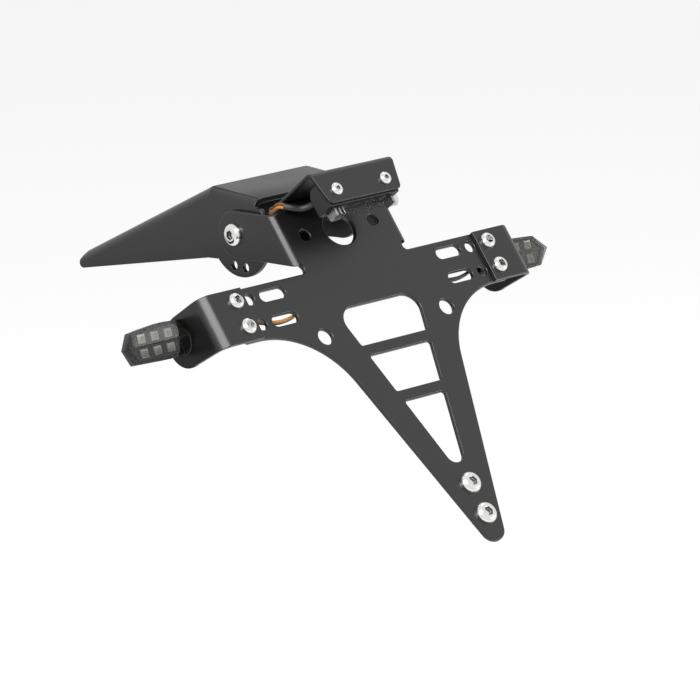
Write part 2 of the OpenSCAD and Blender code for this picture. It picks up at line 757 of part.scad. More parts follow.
// Pivot bolts, from outside through the carrier's cheek and the tail bracket's cheek
module pivot_bolt() {
    color("#c9cbcc") from_pivot() translate([neck_half + head_gap, 0, 0]) rotate([0, 90, 0])
        button_bolt(pivot_d, pivot_head_d, pivot_head_h, neck_half + head_gap - cheek_in + pivot_nut_h + 1);
}

module pivot_nut() {
    color("#c9cbcc") from_pivot() translate([cheek_in, 0, 0]) rotate([0, -90, 0])
        hex_nut(pivot_nut_w, pivot_nut_h, pivot_d);
}

module pivot_bolt_left() {
    mirror([1, 0, 0]) pivot_bolt();
}

module pivot_bolt_right() {
    pivot_bolt();
}

module pivot_nut_left() {
    mirror([1, 0, 0]) pivot_nut();
}

module pivot_nut_right() {
    pivot_nut();
}

// Leads: a smooth curve through the points of a route, with a ring of points round each of its places
function curve_point(a, b, c, d, t) = 0.5 * (2 * b + (c - a) * t + (2 * a - 5 * b + 4 * c - d) * t * t
    + (3 * b - a - 3 * c + d) * t * t * t);

function smooth_route(route) =
    let (last = len(route) - 1)
    concat([for (i = [0:last - 1], s = [0:lead_steps - 1])
        curve_point(route[max(i - 1, 0)], route[i], route[i + 1], route[min(i + 2, last)], s / lead_steps)],
        [route[last]]);

function directions(path) =
    let (last = len(path) - 1)
    [for (i = [0:last]) unit(path[min(i + 1, last)] - path[max(i - 1, 0)])];

function square_to(v, along) = unit(v - (v * along) * along);

function side_vectors(along) =
    [for (i = 0, v = square_to([0, 0.3, 1], along[0]); i < len(along);
        i = i + 1, v = i < len(along) ? square_to(v, along[i]) : v) v];

module lead(route, shift) {
    path = smooth_route(route);
    along = directions(path);
    sides = side_vectors(along);
    rings = len(path);
    points = [for (i = [0:rings - 1], k = [0:lead_sides - 1])
        path[i] + shift * sides[i] + lead_d / 2 * (cos(360 * k / lead_sides) * sides[i]
            + sin(360 * k / lead_sides) * cross(along[i], sides[i]))];
    walls = [for (i = [0:rings - 2], k = [0:lead_sides - 1])
        let (a = i * lead_sides + k, b = i * lead_sides + (k + 1) % lead_sides)
        each [[a, a + lead_sides, b + lead_sides], [a, b + lead_sides, b]]];
    ends = [[for (k = [0:lead_sides - 1]) k],
        [for (k = [lead_sides - 1:-1:0]) (rings - 1) * lead_sides + k]];
    polyhedron(points = points, faces = concat(walls, ends));
}

module lead_pair(route) {
    for (side = [-1, 1]) lead(route, side * lead_spread);
}

module lamp_leads_left() {
    color("#b4651f") on_carrier() lead_pair(left_route);
}

module lamp_leads_right() {
    color("#26201d") on_carrier() lead_pair(right_route);
}

module plate_lamp_leads() {
    color("#6b4a35") on_carrier() lead_pair(lamp_route);
}

module lead_connector() {
    color("#202122") on_carrier() translate(connector_at) difference() {
        cube(connector_size, center = true);
        translate([0, 0, -connector_size.z / 2]) cube([connector_size.x - 3, connector_size.y - 3, connector_size.z], center = true);
    }
}

tail_bracket();
carrier_plate();
lamp_hood();
hood_screws();
hood_nuts();
plate_lamp_housing();
plate_lamp_lens();
plate_lamp_board();
plate_lamp_screws();
side_bracket_left();
side_bracket_right();
side_lamp_housing_left();
side_lamp_housing_right();
side_lamp_lens_left();
side_lamp_lens_right();
side_lamp_board_left();
side_lamp_board_right();
stud_nut_left();
stud_nut_right();
arm_bolts_left();
arm_bolts_right();
arm_nuts_left();
arm_nuts_right();
plate_bolts();
plate_nuts();
pivot_bolt_left();
pivot_bolt_right();
pivot_nut_left();
pivot_nut_right();
lamp_leads_left();
lamp_leads_right();
plate_lamp_leads();
lead_connector();
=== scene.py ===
# %% [markdown]
# # A tail tidy
#
# This part carries a number plate. A folded sheet, the carrier, tilts on two bolts in a second
# folded sheet, the tail bracket. It has a small lamp on each side and a plate lamp at the top. The
# solids come from the part's own frame. This script gives them their finish, rounds the edges that
# catch the light, and adds the fine pieces: threads, light chips, reflectors and coloured leads.

# %% The frame
import json
import math

import bmesh
import bpy
from mathutils import Matrix, Vector
from mathutils.bvhtree import BVHTree


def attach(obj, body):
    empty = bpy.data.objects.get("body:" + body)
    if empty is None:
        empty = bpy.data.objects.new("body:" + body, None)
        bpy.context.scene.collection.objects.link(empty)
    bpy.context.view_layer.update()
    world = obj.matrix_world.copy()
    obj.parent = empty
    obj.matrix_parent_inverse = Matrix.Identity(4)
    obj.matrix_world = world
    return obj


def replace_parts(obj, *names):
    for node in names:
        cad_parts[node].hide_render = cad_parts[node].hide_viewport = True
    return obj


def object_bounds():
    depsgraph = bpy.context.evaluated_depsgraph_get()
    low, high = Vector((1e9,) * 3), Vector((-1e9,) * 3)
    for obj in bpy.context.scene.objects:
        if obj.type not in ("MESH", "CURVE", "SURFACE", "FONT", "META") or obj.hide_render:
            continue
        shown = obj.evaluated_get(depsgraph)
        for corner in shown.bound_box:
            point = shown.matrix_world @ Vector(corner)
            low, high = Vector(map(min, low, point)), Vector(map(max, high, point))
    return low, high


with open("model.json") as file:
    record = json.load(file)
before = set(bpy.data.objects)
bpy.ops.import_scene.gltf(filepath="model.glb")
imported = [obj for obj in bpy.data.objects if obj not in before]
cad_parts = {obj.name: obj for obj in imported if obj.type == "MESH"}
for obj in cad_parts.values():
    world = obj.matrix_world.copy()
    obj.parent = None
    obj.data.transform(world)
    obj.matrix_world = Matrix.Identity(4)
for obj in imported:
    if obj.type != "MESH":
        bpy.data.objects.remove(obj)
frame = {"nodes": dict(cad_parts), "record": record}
cad_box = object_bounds()
record = frame["record"]
body_of = {node: body for body, nodes in record["behaviour"]["bodies"].items() for node in nodes}

# %% [markdown]
# ## Where things are
#
# The carrier is a flat sheet that leans back, so its details are easiest to place in its own
# plane: x to the right, y up the sheet and z out of its rear face. One matrix takes such a place,
# in millimetres, to the part's frame in metres. A second matrix does the same for a side lamp,
# which is turned on its stud. A third mirrors a place to the left side.

# %% Frames of the carrier and the lamps
MM = 0.001
TILT = 40.6
PIVOT_UP, PIVOT_AHEAD = 52.2, 33.3
LEG_FACE, COLLAR = 117.5, 1.2
STUD_DROP, STUD_AHEAD = 5.5, 25.0
LAMP_TURN, LAMP_LIFT = 20.0, 3.0

pivot = Vector(record["behaviour"]["joints"][0]["pos_m"])


def turned_about_x(degrees):
    return Matrix.Rotation(math.radians(degrees), 4, "X")


def moved(x, y, z):
    return Matrix.Translation(Vector((x, y, z)))


on_carrier = (Matrix.Translation(pivot) @ turned_about_x(90 - TILT) @ Matrix.Scale(MM, 4)
              @ moved(0, -PIVOT_UP, PIVOT_AHEAD))
on_stud = (on_carrier @ moved(LEG_FACE + COLLAR, -STUD_DROP, -STUD_AHEAD)
           @ turned_about_x(TILT - LAMP_TURN))
on_lamp = on_stud @ moved(0, LAMP_LIFT, 0)
to_left = Matrix.Scale(-1, 4, Vector((1, 0, 0)))
sides = {"right": Matrix.Identity(4), "left": to_left}
print("the stud of the right lamp is at", [round(v, 4) for v in on_stud.translation])

# %% [markdown]
# ## Finishes
#
# Each finish is one Principled shader. What varies over a surface comes from a small node group,
# which gives the fine orange peel of powder coat and moulded plastic, and a fainter grain on
# metal. It reads Object coordinates, so it stays put when the part is turned.


# %% The grain group
def new_group(name, inputs, outputs):
    group = bpy.data.node_groups.new(name, "ShaderNodeTree")
    for label, value in inputs:
        socket = group.interface.new_socket(label, in_out="INPUT", socket_type="NodeSocketFloat")
        socket.default_value = value
    for label in outputs:
        group.interface.new_socket(label, in_out="OUTPUT", socket_type="NodeSocketFloat")
    return group


def new_node(tree, kind, **values):
    node = tree.nodes.new(kind)
    for key, value in values.items():
        setattr(node, key, value)
    return node


grain = new_group("Grain", [("Scale", 1500.0), ("Low", 0.4), ("High", 0.5)],
                  ["Height", "Roughness"])
inside = new_node(grain, "NodeGroupInput")
outside = new_node(grain, "NodeGroupOutput")
place = new_node(grain, "ShaderNodeTexCoord")
peel = new_node(grain, "ShaderNodeTexNoise")
peel.inputs["Detail"].default_value = 3.0
peel.inputs["Roughness"].default_value = 0.55
blotch = new_node(grain, "ShaderNodeTexNoise")
blotch.inputs["Scale"].default_value = 38.0
blotch.inputs["Detail"].default_value = 4.0
between = new_node(grain, "ShaderNodeMapRange")
grain.links.new(place.outputs["Object"], peel.inputs["Vector"])
grain.links.new(inside.outputs["Scale"], peel.inputs["Scale"])
grain.links.new(place.outputs["Object"], blotch.inputs["Vector"])
grain.links.new(blotch.outputs["Fac"], between.inputs["Value"])
grain.links.new(inside.outputs["Low"], between.inputs["To Min"])
grain.links.new(inside.outputs["High"], between.inputs["To Max"])
grain.links.new(peel.outputs["Fac"], outside.inputs["Height"])
grain.links.new(between.outputs["Result"], outside.inputs["Roughness"])
print("the grain group has", len(grain.nodes), "nodes")


# %% One maker for every finish
ROUGHNESS_SWING = 0.05


def finish(name, color, roughness, metallic=0.0, peel_size=0.0, peel_depth=0.0, **sockets):
    material = bpy.data.materials.new(name)
    material.use_nodes = True
    tree = material.node_tree
    shader = tree.nodes["Principled BSDF"]
    shader.inputs["Base Color"].default_value = (*color, 1.0)
    shader.inputs["Roughness"].default_value = roughness
    shader.inputs["Metallic"].default_value = metallic
    for label, value in sockets.items():
        shader.inputs[label.replace("_", " ").title().replace("Ior", "IOR")].default_value = value
    if peel_size:
        pattern = new_node(tree, "ShaderNodeGroup", node_tree=grain)
        pattern.inputs["Scale"].default_value = 1.0 / (peel_size * MM)
        pattern.inputs["Low"].default_value = roughness - ROUGHNESS_SWING
        pattern.inputs["High"].default_value = roughness + ROUGHNESS_SWING
        bump = new_node(tree, "ShaderNodeBump")
        bump.inputs["Distance"].default_value = peel_depth * MM
        tree.links.new(pattern.outputs["Height"], bump.inputs["Height"])
        tree.links.new(pattern.outputs["Roughness"], shader.inputs["Roughness"])
        tree.links.new(bump.outputs["Normal"], shader.inputs["Normal"])
    return material


powder = finish("Black powder coat", (0.0045, 0.0045, 0.0048), 0.33, peel_size=0.8,
                peel_depth=0.015, specular_ior_level=0.6)
stainless = finish("Stainless steel", (0.74, 0.735, 0.72), 0.17, metallic=1.0, peel_size=0.5,
                   peel_depth=0.006)
plated = finish("Zinc plate", (0.55, 0.55, 0.55), 0.36, metallic=1.0, peel_size=0.4,
                peel_depth=0.008)
# Painted shade: a darker steel for the walls and floors of the sockets, where shade falls.
painted_socket_shade = finish("Painted socket shade", (0.12, 0.12, 0.12), 0.3, metallic=1.0, peel_size=0.4,
                    peel_depth=0.008)
# Painted shade: a nearly black steel for the nuts in the neck and the ends of the hood's screws, so
# that their holes look dark.
painted_hole_shade = finish("Painted hole shade", (0.025, 0.025, 0.025), 0.25, metallic=1.0, peel_size=0.4,
                     peel_depth=0.008)
moulded = finish("Black moulding", (0.008, 0.008, 0.0085), 0.36, peel_size=0.35, peel_depth=0.008)
board_lacquer = finish("Lamp board", (0.022, 0.025, 0.02), 0.3, peel_size=0.9, peel_depth=0.02)
chip = finish("Light chip", (0.86, 0.87, 0.8), 0.3, peel_size=0.6, peel_depth=0.01)
phosphor = finish("Phosphor", (0.72, 0.68, 0.46), 0.4)
orange_cover = finish("Orange cover", (0.62, 0.25, 0.05), 0.4)
brown_cover = finish("Brown cover", (0.2, 0.08, 0.035), 0.4)
black_cover = finish("Black cover", (0.014, 0.014, 0.014), 0.4)
print("finishes:", len(bpy.data.materials))

# %% [markdown]
# ## Lenses
#
# A lens is moulded plastic, smoked on the side lamps and clear on the plate lamp. A lens that
# refracts would stop the lamps' light in a path tracer, and the board behind it would go black.
# A thin tinted skin with some transparency lets the light in, and a Layer Weight makes it denser
# where it is seen at a slant. It has no coat, because the mirror image of a small lamp in a
# see-through skin leaves grain in the picture.


# %% Lens finishes
LENS_ROUGHNESS, SLANT_BLEND = 0.08, 0.35


def lens_finish(name, color, clear_front, dense_rim, specular):
    material = finish(name, color, LENS_ROUGHNESS, specular_ior_level=specular)
    tree = material.node_tree
    slant = new_node(tree, "ShaderNodeLayerWeight")
    slant.inputs["Blend"].default_value = SLANT_BLEND
    density = new_node(tree, "ShaderNodeMapRange")
    density.inputs["To Min"].default_value = clear_front
    density.inputs["To Max"].default_value = dense_rim
    tree.links.new(slant.outputs["Facing"], density.inputs["Value"])
    tree.links.new(density.outputs["Result"], tree.nodes["Principled BSDF"].inputs["Alpha"])
    return material


smoked = lens_finish("Smoked lens", (0.012, 0.014, 0.01), clear_front=0.14, dense_rim=0.95,
                     specular=0.8)
clear = lens_finish("Clear lens", (0.06, 0.062, 0.062), clear_front=0.05, dense_rim=0.5,
                    specular=0.25)
print("finishes with the lenses:", len(bpy.data.materials))

# %% [markdown]
# ## Rounded edges
#
# No sheet has a perfectly sharp edge: powder coat builds up into a small radius, and that radius
# draws the thin bright line round every hole in the real part. The CAD mesh is loose triangles,
# so a copy is merged, its flat faces are joined again, and its sharp edges are bevelled. The copy
# then stands for the CAD node and rides on the same body.

# %% A merged copy, and its edges
SHARP, FLAT = math.radians(32), math.radians(0.4)
MERGE = 2e-6


def merged_copy(node):
    shape = bmesh.new()
    shape.from_mesh(frame["nodes"][node].data)
    bmesh.ops.remove_doubles(shape, verts=shape.verts, dist=MERGE)
    bmesh.ops.dissolve_limit(shape, angle_limit=FLAT, verts=shape.verts, edges=shape.edges)
    return shape


def soften(shape, width, segments=2):
    edges = [e for e in shape.edges if e.is_manifold and e.calc_face_angle(0) > SHARP]
    bmesh.ops.bevel(shape, geom=edges, offset=width * MM, offset_type="OFFSET", segments=segments,
                    profile=0.5, affect="EDGES", clamp_overlap=False, material=-1)


print("edges over", round(math.degrees(SHARP)), "degrees are rounded")


# %% A piece made of a mesh
def new_piece(name, shape, node, *materials):
    mesh = bpy.data.meshes.new(name)
    bmesh.ops.triangulate(shape, faces=[f for f in shape.faces if len(f.verts) > 4])
    shape.to_mesh(mesh)
    shape.free()
    piece = bpy.data.objects.new(name, mesh)
    bpy.context.scene.collection.objects.link(piece)
    for material in materials:
        mesh.materials.append(material)
    mesh.shade_smooth()
    mesh.set_sharp_from_angle(angle=SHARP)
    shading = piece.modifiers.new("Flat faces stay flat", "WEIGHTED_NORMAL")
    shading.mode = "FACE_AREA"
    shading.weight = 100
    shading.keep_sharp = True
    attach(piece, body_of[node])
    return piece


# %% Copies of the sheets
NOTCH_CORNER, NOTCH_REACH = (38.2, 13.4), 0.3
SUNK_LOW, SUNK_HIGH = -1.0, -0.3


def level_corners(shape):
    """Puts the bevel's corner beside each cheek back into the rear face of the carrier."""
    back = on_carrier.inverted()
    for vert in shape.verts:
        at = back @ vert.co
        beside = (abs(abs(at.x) - NOTCH_CORNER[0]) < NOTCH_REACH
                  and abs(at.y - NOTCH_CORNER[1]) < NOTCH_REACH)
        if beside and SUNK_LOW < at.z < SUNK_HIGH:
            vert.co = on_carrier @ Vector((at.x, at.y, 0))


def dressed(node, material, width, segments=2, mend=None):
    """A softened copy of a CAD node, in its finish."""
    shape = merged_copy(node)
    soften(shape, width, segments)
    if mend:
        mend(shape)
    piece = new_piece(node + "_finished", shape, node, material)
    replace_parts(piece, node)
    return piece


for sheet, width, mend in (("carrier_plate", 0.8, level_corners), ("tail_bracket", 0.5, None),
                           ("lamp_hood", 0.5, None)):
    piece = dressed(sheet, powder, width, 3, mend)
    print(sheet, "has", len(piece.data.polygons), "faces")

# %% [markdown]
# ## Side brackets
#
# The side brackets are bent over a rounder tool than the other sheets: the fold shows as a broad
# soft band of light. The fold of the copy is opened up to that radius, by moving each of its
# points along its own ray to the larger arc, before the edges are rounded.

# %% A rounder fold
LEG_X, BRACKET_SHEET, ARM_RISE, ARM_DROP = 117.5, 2.5, 7.5, 24.2
TIGHT_FOLD, ROUND_FOLD = 4.0, 7.5
LEG_TOP, LEG_LOW = 9.5, -20.5


def edge_heights(ahead):
    """Upper and lower edge of the bracket at a distance ahead of the flange."""
    share = max(0.0, ahead) / STUD_AHEAD
    return ARM_RISE + share * (LEG_TOP - ARM_RISE), -ARM_DROP + share * (ARM_DROP + LEG_LOW)


def open_fold(shape, place):
    """Moves the points of the fold to the round arc and counts them."""
    back = place.inverted()
    moved_points = 0
    for vert in shape.verts:
        x, y, z = back @ vert.co
        across, along = x - (LEG_X - TIGHT_FOLD), z - (BRACKET_SHEET - TIGHT_FOLD)
        if across < -0.01 or along < -0.01:
            continue
        outer = math.hypot(across, along) > TIGHT_FOLD - 0.5 * BRACKET_SHEET
        radius = ROUND_FOLD if outer else ROUND_FOLD - BRACKET_SHEET
        angle = math.atan2(along, across)
        new_x = LEG_X - ROUND_FOLD + radius * math.cos(angle)
        new_z = BRACKET_SHEET - ROUND_FOLD + radius * math.sin(angle)
        top, low = edge_heights(-z)
        new_top, new_low = edge_heights(-new_z)
        new_y = new_low + (y - low) / (top - low) * (new_top - new_low)
        vert.co = place @ Vector((new_x, new_y, new_z))
        moved_points += 1
    return moved_points


for side, mirrored in sides.items():
    node = "side_bracket_" + side
    shape = merged_copy(node)
    count = open_fold(shape, mirrored @ on_carrier)
    soften(shape, 0.4, 3)
    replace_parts(new_piece(node + "_finished", shape, node, powder), node)
    print(node, "fold points moved:", count)

# %% [markdown]
# ## Bolts, screws and nuts
#
# The heads are stainless button heads with a hexagon socket, and their small bevels catch the light
# as bright rings. On the real part the sockets look wide and dark, so the hexagons of the larger
# heads are opened up, and every socket gets a darker steel as painted shade. A face is a socket's
# wall when a ray from it meets the same head again, and its floor when all its neighbours are
# walls. The nuts behind the sheet are plated. The nuts in the neck and the ends of the screws in
# them are painted nearly black, as painted shade for the dark holes they sit in.

# %% Wider sockets, with painted shade in them
BIG_SOCKET, SOCKET_FLOOR, SOCKET_REACH = 1.36, 0.5, 2.3
RAY_START, RAY_REACH = 0.01 * MM, 6 * MM
SCREW_TIPS = -1.6


def widen_socket(shape, place):
    """Opens the hexagon of a head whose axis is the place's z axis and whose seat is at z 0."""
    back = place.inverted()
    for vert in shape.verts:
        at = back @ vert.co
        if at.z > SOCKET_FLOOR and math.hypot(at.x, at.y) < SOCKET_REACH:
            vert.co = place @ Vector((at.x * BIG_SOCKET, at.y * BIG_SOCKET, at.z))


def paint_socket_shade(shape):
    """Paints shade, the second material, on a socket's walls, which look at each other, and its
    floor.
    """
    near = BVHTree.FromBMesh(shape)
    walls = set()
    for face in shape.faces:
        start = face.calc_center_median() + RAY_START * face.normal
        if near.ray_cast(start, face.normal, RAY_REACH)[0] is not None:
            walls.add(face)
    floors = []
    for face in shape.faces:
        around = [other for edge in face.edges for other in edge.link_faces if other is not face]
        if face not in walls and all(other in walls for other in around):
            floors.append(face)
    for face in walls.union(floors):
        face.material_index = 1
    return len(walls), len(floors)


def shade_screw_tips(shape):
    """Paints shade, the third material, on the ends of the hood's screws, which show in the neck's
    holes.
    """
    back = on_carrier.inverted()
    for face in shape.faces:
        if (back @ face.calc_center_median()).z > SCREW_TIPS:
            face.material_index = 2


# %% Bolts and screws
CHEEK_FACE = 42.7
PLATE_BOLTS = (-134.5, -153.6)
ARM_X, ROW_PITCH = 95.0, 15.75
outwards = Matrix.Rotation(math.radians(90), 4, "Y")
big_heads = {"plate_bolts": [on_carrier @ moved(0, up, 0) for up in PLATE_BOLTS]}
for side, mirrored in sides.items():
    big_heads["pivot_bolt_" + side] = [
        mirrored @ on_carrier @ moved(CHEEK_FACE, PIVOT_UP, -PIVOT_AHEAD) @ outwards]
    big_heads["arm_bolts_" + side] = [
        mirrored @ on_carrier @ moved(ARM_X, -row * ROW_PITCH, BRACKET_SHEET) for row in (0, 1)]
for bolts in ("arm_bolts_left", "arm_bolts_right", "plate_bolts", "pivot_bolt_left",
              "pivot_bolt_right", "plate_lamp_screws", "hood_screws"):
    shape = merged_copy(bolts)
    for place in big_heads.get(bolts, []):
        widen_socket(shape, place)
    soften(shape, 0.12)
    print(bolts, "socket walls and floors:", paint_socket_shade(shape))
    if bolts == "hood_screws":
        shade_screw_tips(shape)
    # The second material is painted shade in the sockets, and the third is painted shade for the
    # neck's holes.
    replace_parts(new_piece(bolts + "_finished", shape, bolts, stainless, painted_socket_shade, painted_hole_shade),
                bolts)

# %% Nuts
for nuts in ("arm_nuts_left", "arm_nuts_right", "plate_nuts", "pivot_nut_left", "pivot_nut_right",
             "stud_nut_left", "stud_nut_right"):
    dressed(nuts, plated, 0.15)
# The nuts in the neck are painted nearly black as shade for their holes.
dressed("hood_nuts", painted_hole_shade, 0.15)
print("nuts done")

# %% [markdown]
# ## Threads
#
# Where a bolt stands out behind its nut, its thread shows. A thread is a small pointed profile
# swept along a helix, which bmesh's spin does when it is also given a step along the axis.


# %% A thread on the end of a bolt
STEPS_IN_TURN, FEWEST_STEPS, FEWEST_TURNS = 24, 12, 0.5


def thread(name, node, place, radius, pitch, length):
    shape = bmesh.new()
    foot, crest, root = radius - 0.05 * pitch, radius + 0.02, radius - 0.35 * pitch
    corners = [(foot, 0), (crest, 0.45 * pitch), (foot, 0.9 * pitch), (root, 0.45 * pitch)]
    ring = [shape.verts.new((x, 0, z)) for x, z in corners]
    face = shape.faces.new(ring)
    turns = max(length / pitch - 1, FEWEST_TURNS)
    steps = max(int(turns * STEPS_IN_TURN), FEWEST_STEPS)
    bmesh.ops.spin(shape, geom=[face] + list(face.edges) + ring, cent=(0, 0, 0), axis=(0, 0, 1),
                   dvec=(0, 0, turns * pitch / steps), angle=turns * math.tau, steps=steps,
                   use_duplicate=False)
    bmesh.ops.recalc_face_normals(shape, faces=shape.faces)
    bmesh.ops.transform(shape, matrix=place, verts=shape.verts)
    if place.determinant() < 0:
        bmesh.ops.reverse_faces(shape, faces=shape.faces)
    return new_piece(name, shape, node, stainless)


# %% Threads of the arm and plate bolts
SHEET, ARM_NUT, PLATE_NUT = 3.0, 4.0, 5.4
# Radius, pitch and length
ARM_THREAD, PLATE_THREAD = (2.5, 0.8, 1.6), (3.0, 1.0, 1.9)
behind = turned_about_x(180)
for side, mirrored in sides.items():
    for row in (0, 1):
        place = mirrored @ on_carrier @ moved(ARM_X, -row * ROW_PITCH, -SHEET - ARM_NUT) @ behind
        thread(f"arm_bolt_thread_{side}_{row}", "arm_bolts_" + side, place, *ARM_THREAD)
for number, up in enumerate(PLATE_BOLTS):
    place = on_carrier @ moved(0, up, -SHEET - PLATE_NUT) @ behind
    thread(f"plate_bolt_thread_{number}", "plate_bolts", place, *PLATE_THREAD)
print("threads done")

# %% [markdown]
# ## Side lamps
#
# A side lamp is a dark housing with a smoked lens over its rear half. Through the lens one sees a
# dark board with light chips, each a pale square with a yellowish window. The housing and lens
# are softened copies. The CAD board has plain blocks for chips, which are sunk into its face. The
# chips that replace them are cubes, and a window is their top face, inset and then let in.

# %% A board without its blocks, and a chip
CHIP_COLUMNS, CHIP_ROWS = (8.6, 18.0, 27.4), (-4.0, 4.0)
CHIP, CHIP_HEIGHT, CHIP_FRAME, WINDOW_STEP = 4.8, 0.9, 0.9, 0.25
ABOVE_BOARD = 0.02


def plain_board(shape, place):
    """Sinks the plain blocks that stand for the chips into the board's face."""
    back = place.inverted()
    for vert in shape.verts:
        at = back @ vert.co
        if at.z > ABOVE_BOARD:
            vert.co = place @ Vector((at.x, at.y, 0))
    bmesh.ops.remove_doubles(shape, verts=shape.verts, dist=MERGE)
    bmesh.ops.dissolve_degenerate(shape, edges=shape.edges, dist=MERGE)
    bmesh.ops.dissolve_limit(shape, angle_limit=FLAT, verts=shape.verts, edges=shape.edges)


def light_chip(shape, place):
    """A square body whose top is let in round a window of phosphor."""
    size = Matrix.Diagonal((CHIP, CHIP, CHIP_HEIGHT, 1))
    made = bmesh.ops.create_cube(shape, size=1.0)["verts"]
    bmesh.ops.transform(shape, matrix=place @ moved(0, 0, CHIP_HEIGHT / 2) @ size, verts=made)
    back = place.inverted()
    top = max({f for v in made for f in v.link_faces},
              key=lambda f: (back @ f.calc_center_median()).z)
    bmesh.ops.inset_region(shape, faces=[top], thickness=CHIP_FRAME * MM, use_even_offset=True)
    bmesh.ops.inset_region(shape, faces=[top], thickness=WINDOW_STEP * MM,
                           depth=-WINDOW_STEP * MM, use_even_offset=True)
    top.material_index = 1


# %% The side lamps
for side, mirrored in sides.items():
    dressed("side_lamp_housing_" + side, moulded, 0.35, 3)
    dressed("side_lamp_lens_" + side, smoked, 0.5, 3)
    board = "side_lamp_board_" + side
    shape = merged_copy(board)
    plain_board(shape, mirrored @ on_lamp)
    piece = new_piece(board + "_finished", shape, board, board_lacquer)
    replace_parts(piece, board)
    shape = bmesh.new()
    for x in CHIP_COLUMNS:
        for y in CHIP_ROWS:
            light_chip(shape, mirrored @ on_lamp @ moved(x, y, 0))
    bmesh.ops.recalc_face_normals(shape, faces=shape.faces)
    new_piece("light_chips_" + side, shape, board, chip, phosphor)
    print(side, "lamp done")

# %% [markdown]
# ## Plate lamp
#
# The plate lamp sits under the hood, with a clear lens over a dark board. Its left end shows a
# cluster of bright facets, and the rest of the lens is nearly black. Silvered blocks inside the
# lens make the facets: three at the left end, each thinner than the last, and one at the right.

# %% The plate lamp
dressed("plate_lamp_housing", moulded, 0.3, 3)
dressed("plate_lamp_lens", clear, 0.25, 3)
shape = merged_copy("plate_lamp_board")
piece = new_piece("plate_lamp_board_finished", shape, "plate_lamp_board", board_lacquer)
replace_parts(piece, "plate_lamp_board")


def block(shape, place, low_corner, high_corner):
    """Adds a box between two corners."""
    size = [b - a for a, b in zip(low_corner, high_corner)]
    middle = [(a + b) / 2 for a, b in zip(low_corner, high_corner)]
    made = bmesh.ops.create_cube(shape, size=1.0)["verts"]
    stretched = place @ moved(*middle) @ Matrix.Diagonal((*size, 1))
    bmesh.ops.transform(shape, matrix=stretched, verts=made)


print("lens, board and housing of the plate lamp done")

# %% Reflectors of the plate lamp
LOW_FRONT, HIGH_REAR = (26.0, 19.6), (30.3, 27.4)
reflector_ends = {"right": [(21.9, 20.5)], "left": [(21.9, 20.5), (19.0, 17.9), (16.2, 15.4)]}
shape = bmesh.new()
for side, mirrored in sides.items():
    for near_end, far_end in reflector_ends[side]:
        block(shape, mirrored @ on_carrier, (far_end, *LOW_FRONT), (near_end, *HIGH_REAR))
bmesh.ops.recalc_face_normals(shape, faces=shape.faces)
soften(shape, 0.3)
new_piece("plate_lamp_reflectors", shape, "plate_lamp_board", plated)
dressed("lead_connector", moulded, 0.4, 3)
print("plate lamp done")

# %% [markdown]
# ## Leads
#
# Each lamp has two thin leads that run together. A lead is a round tube along a listed route. The
# plate lamp's route is the CAD route again. The side lamps' route runs a little nearer the middle
# behind the neck than in the CAD, so that it stays out of sight as on the real part.
# The curve through a route's points is the CAD curve, with finer steps. A Blender curve with a
# bevel gives the tube, and it is turned into a mesh so that its place is in the mesh. A flat
# black sleeve keeps the plate lamp's leads together from the lamp to the edge of the neck.

# %% Routes of the leads
LEAD = 1.8
SPREAD = 0.53 * LEAD
side_route = [(108, -5.5, -25), (102, -5.5, -25), (96, -6, -19), (90, -8, -11), (83, -11, -6),
              (74, -14, -5.2), (65, -15, -5.2), (54, -13, -5.2), (42, -6, -5.2), (32, 4, -5.2),
              (32, 16, -5.2), (33.5, 26, -5.2), (35, 35, -5.2), (34, 41, -7), (32, 44, -13),
              (28, 46, -21), (20, 52, -31), (11, 59, -39), (6, 62, -46), (6, 62, -50), (6, 62, -54)]
lamp_route = [(-20, 42, 17), (-20, 42, 14), (-20, 42, 11), (-24, 43, 6), (-30, 46, 4),
              (-34, 49.5, 1), (-34, 50, -4), (-33, 51, -8), (-29, 49.5, -13), (-20, 50, -22),
              (-10, 55, -33), (-2, 61, -42), (0, 62, -46), (0, 62, -50), (0, 62, -54)]
STEPS = 6
FIRST_SIDE = (0, 0.3, 1)
print("points in the routes:", len(side_route), len(lamp_route))


# %% The path along a route
def smooth(route):
    """Points on a curve that goes through each point of the route."""
    points = [Vector(p) for p in route]
    last = len(points) - 1
    path = []
    for i in range(last):
        a, b, c, d = points[max(i - 1, 0)], points[i], points[i + 1], points[min(i + 2, last)]
        for s in range(STEPS):
            t = s / STEPS
            path.append(0.5 * (2 * b + (c - a) * t + (2 * a - 5 * b + 4 * c - d) * t * t
                               + (3 * b - a - 3 * c + d) * t ** 3))
    return path + [points[last]]


def side_directions(path):
    """A direction square to the path at each of its points, carried along without a twist."""
    last = len(path) - 1
    directions = []
    carried = Vector(FIRST_SIDE)
    for i in range(last + 1):
        along = (path[min(i + 1, last)] - path[max(i - 1, 0)]).normalized()
        carried = (carried - carried.dot(along) * along).normalized()
        directions.append(carried)
    return directions


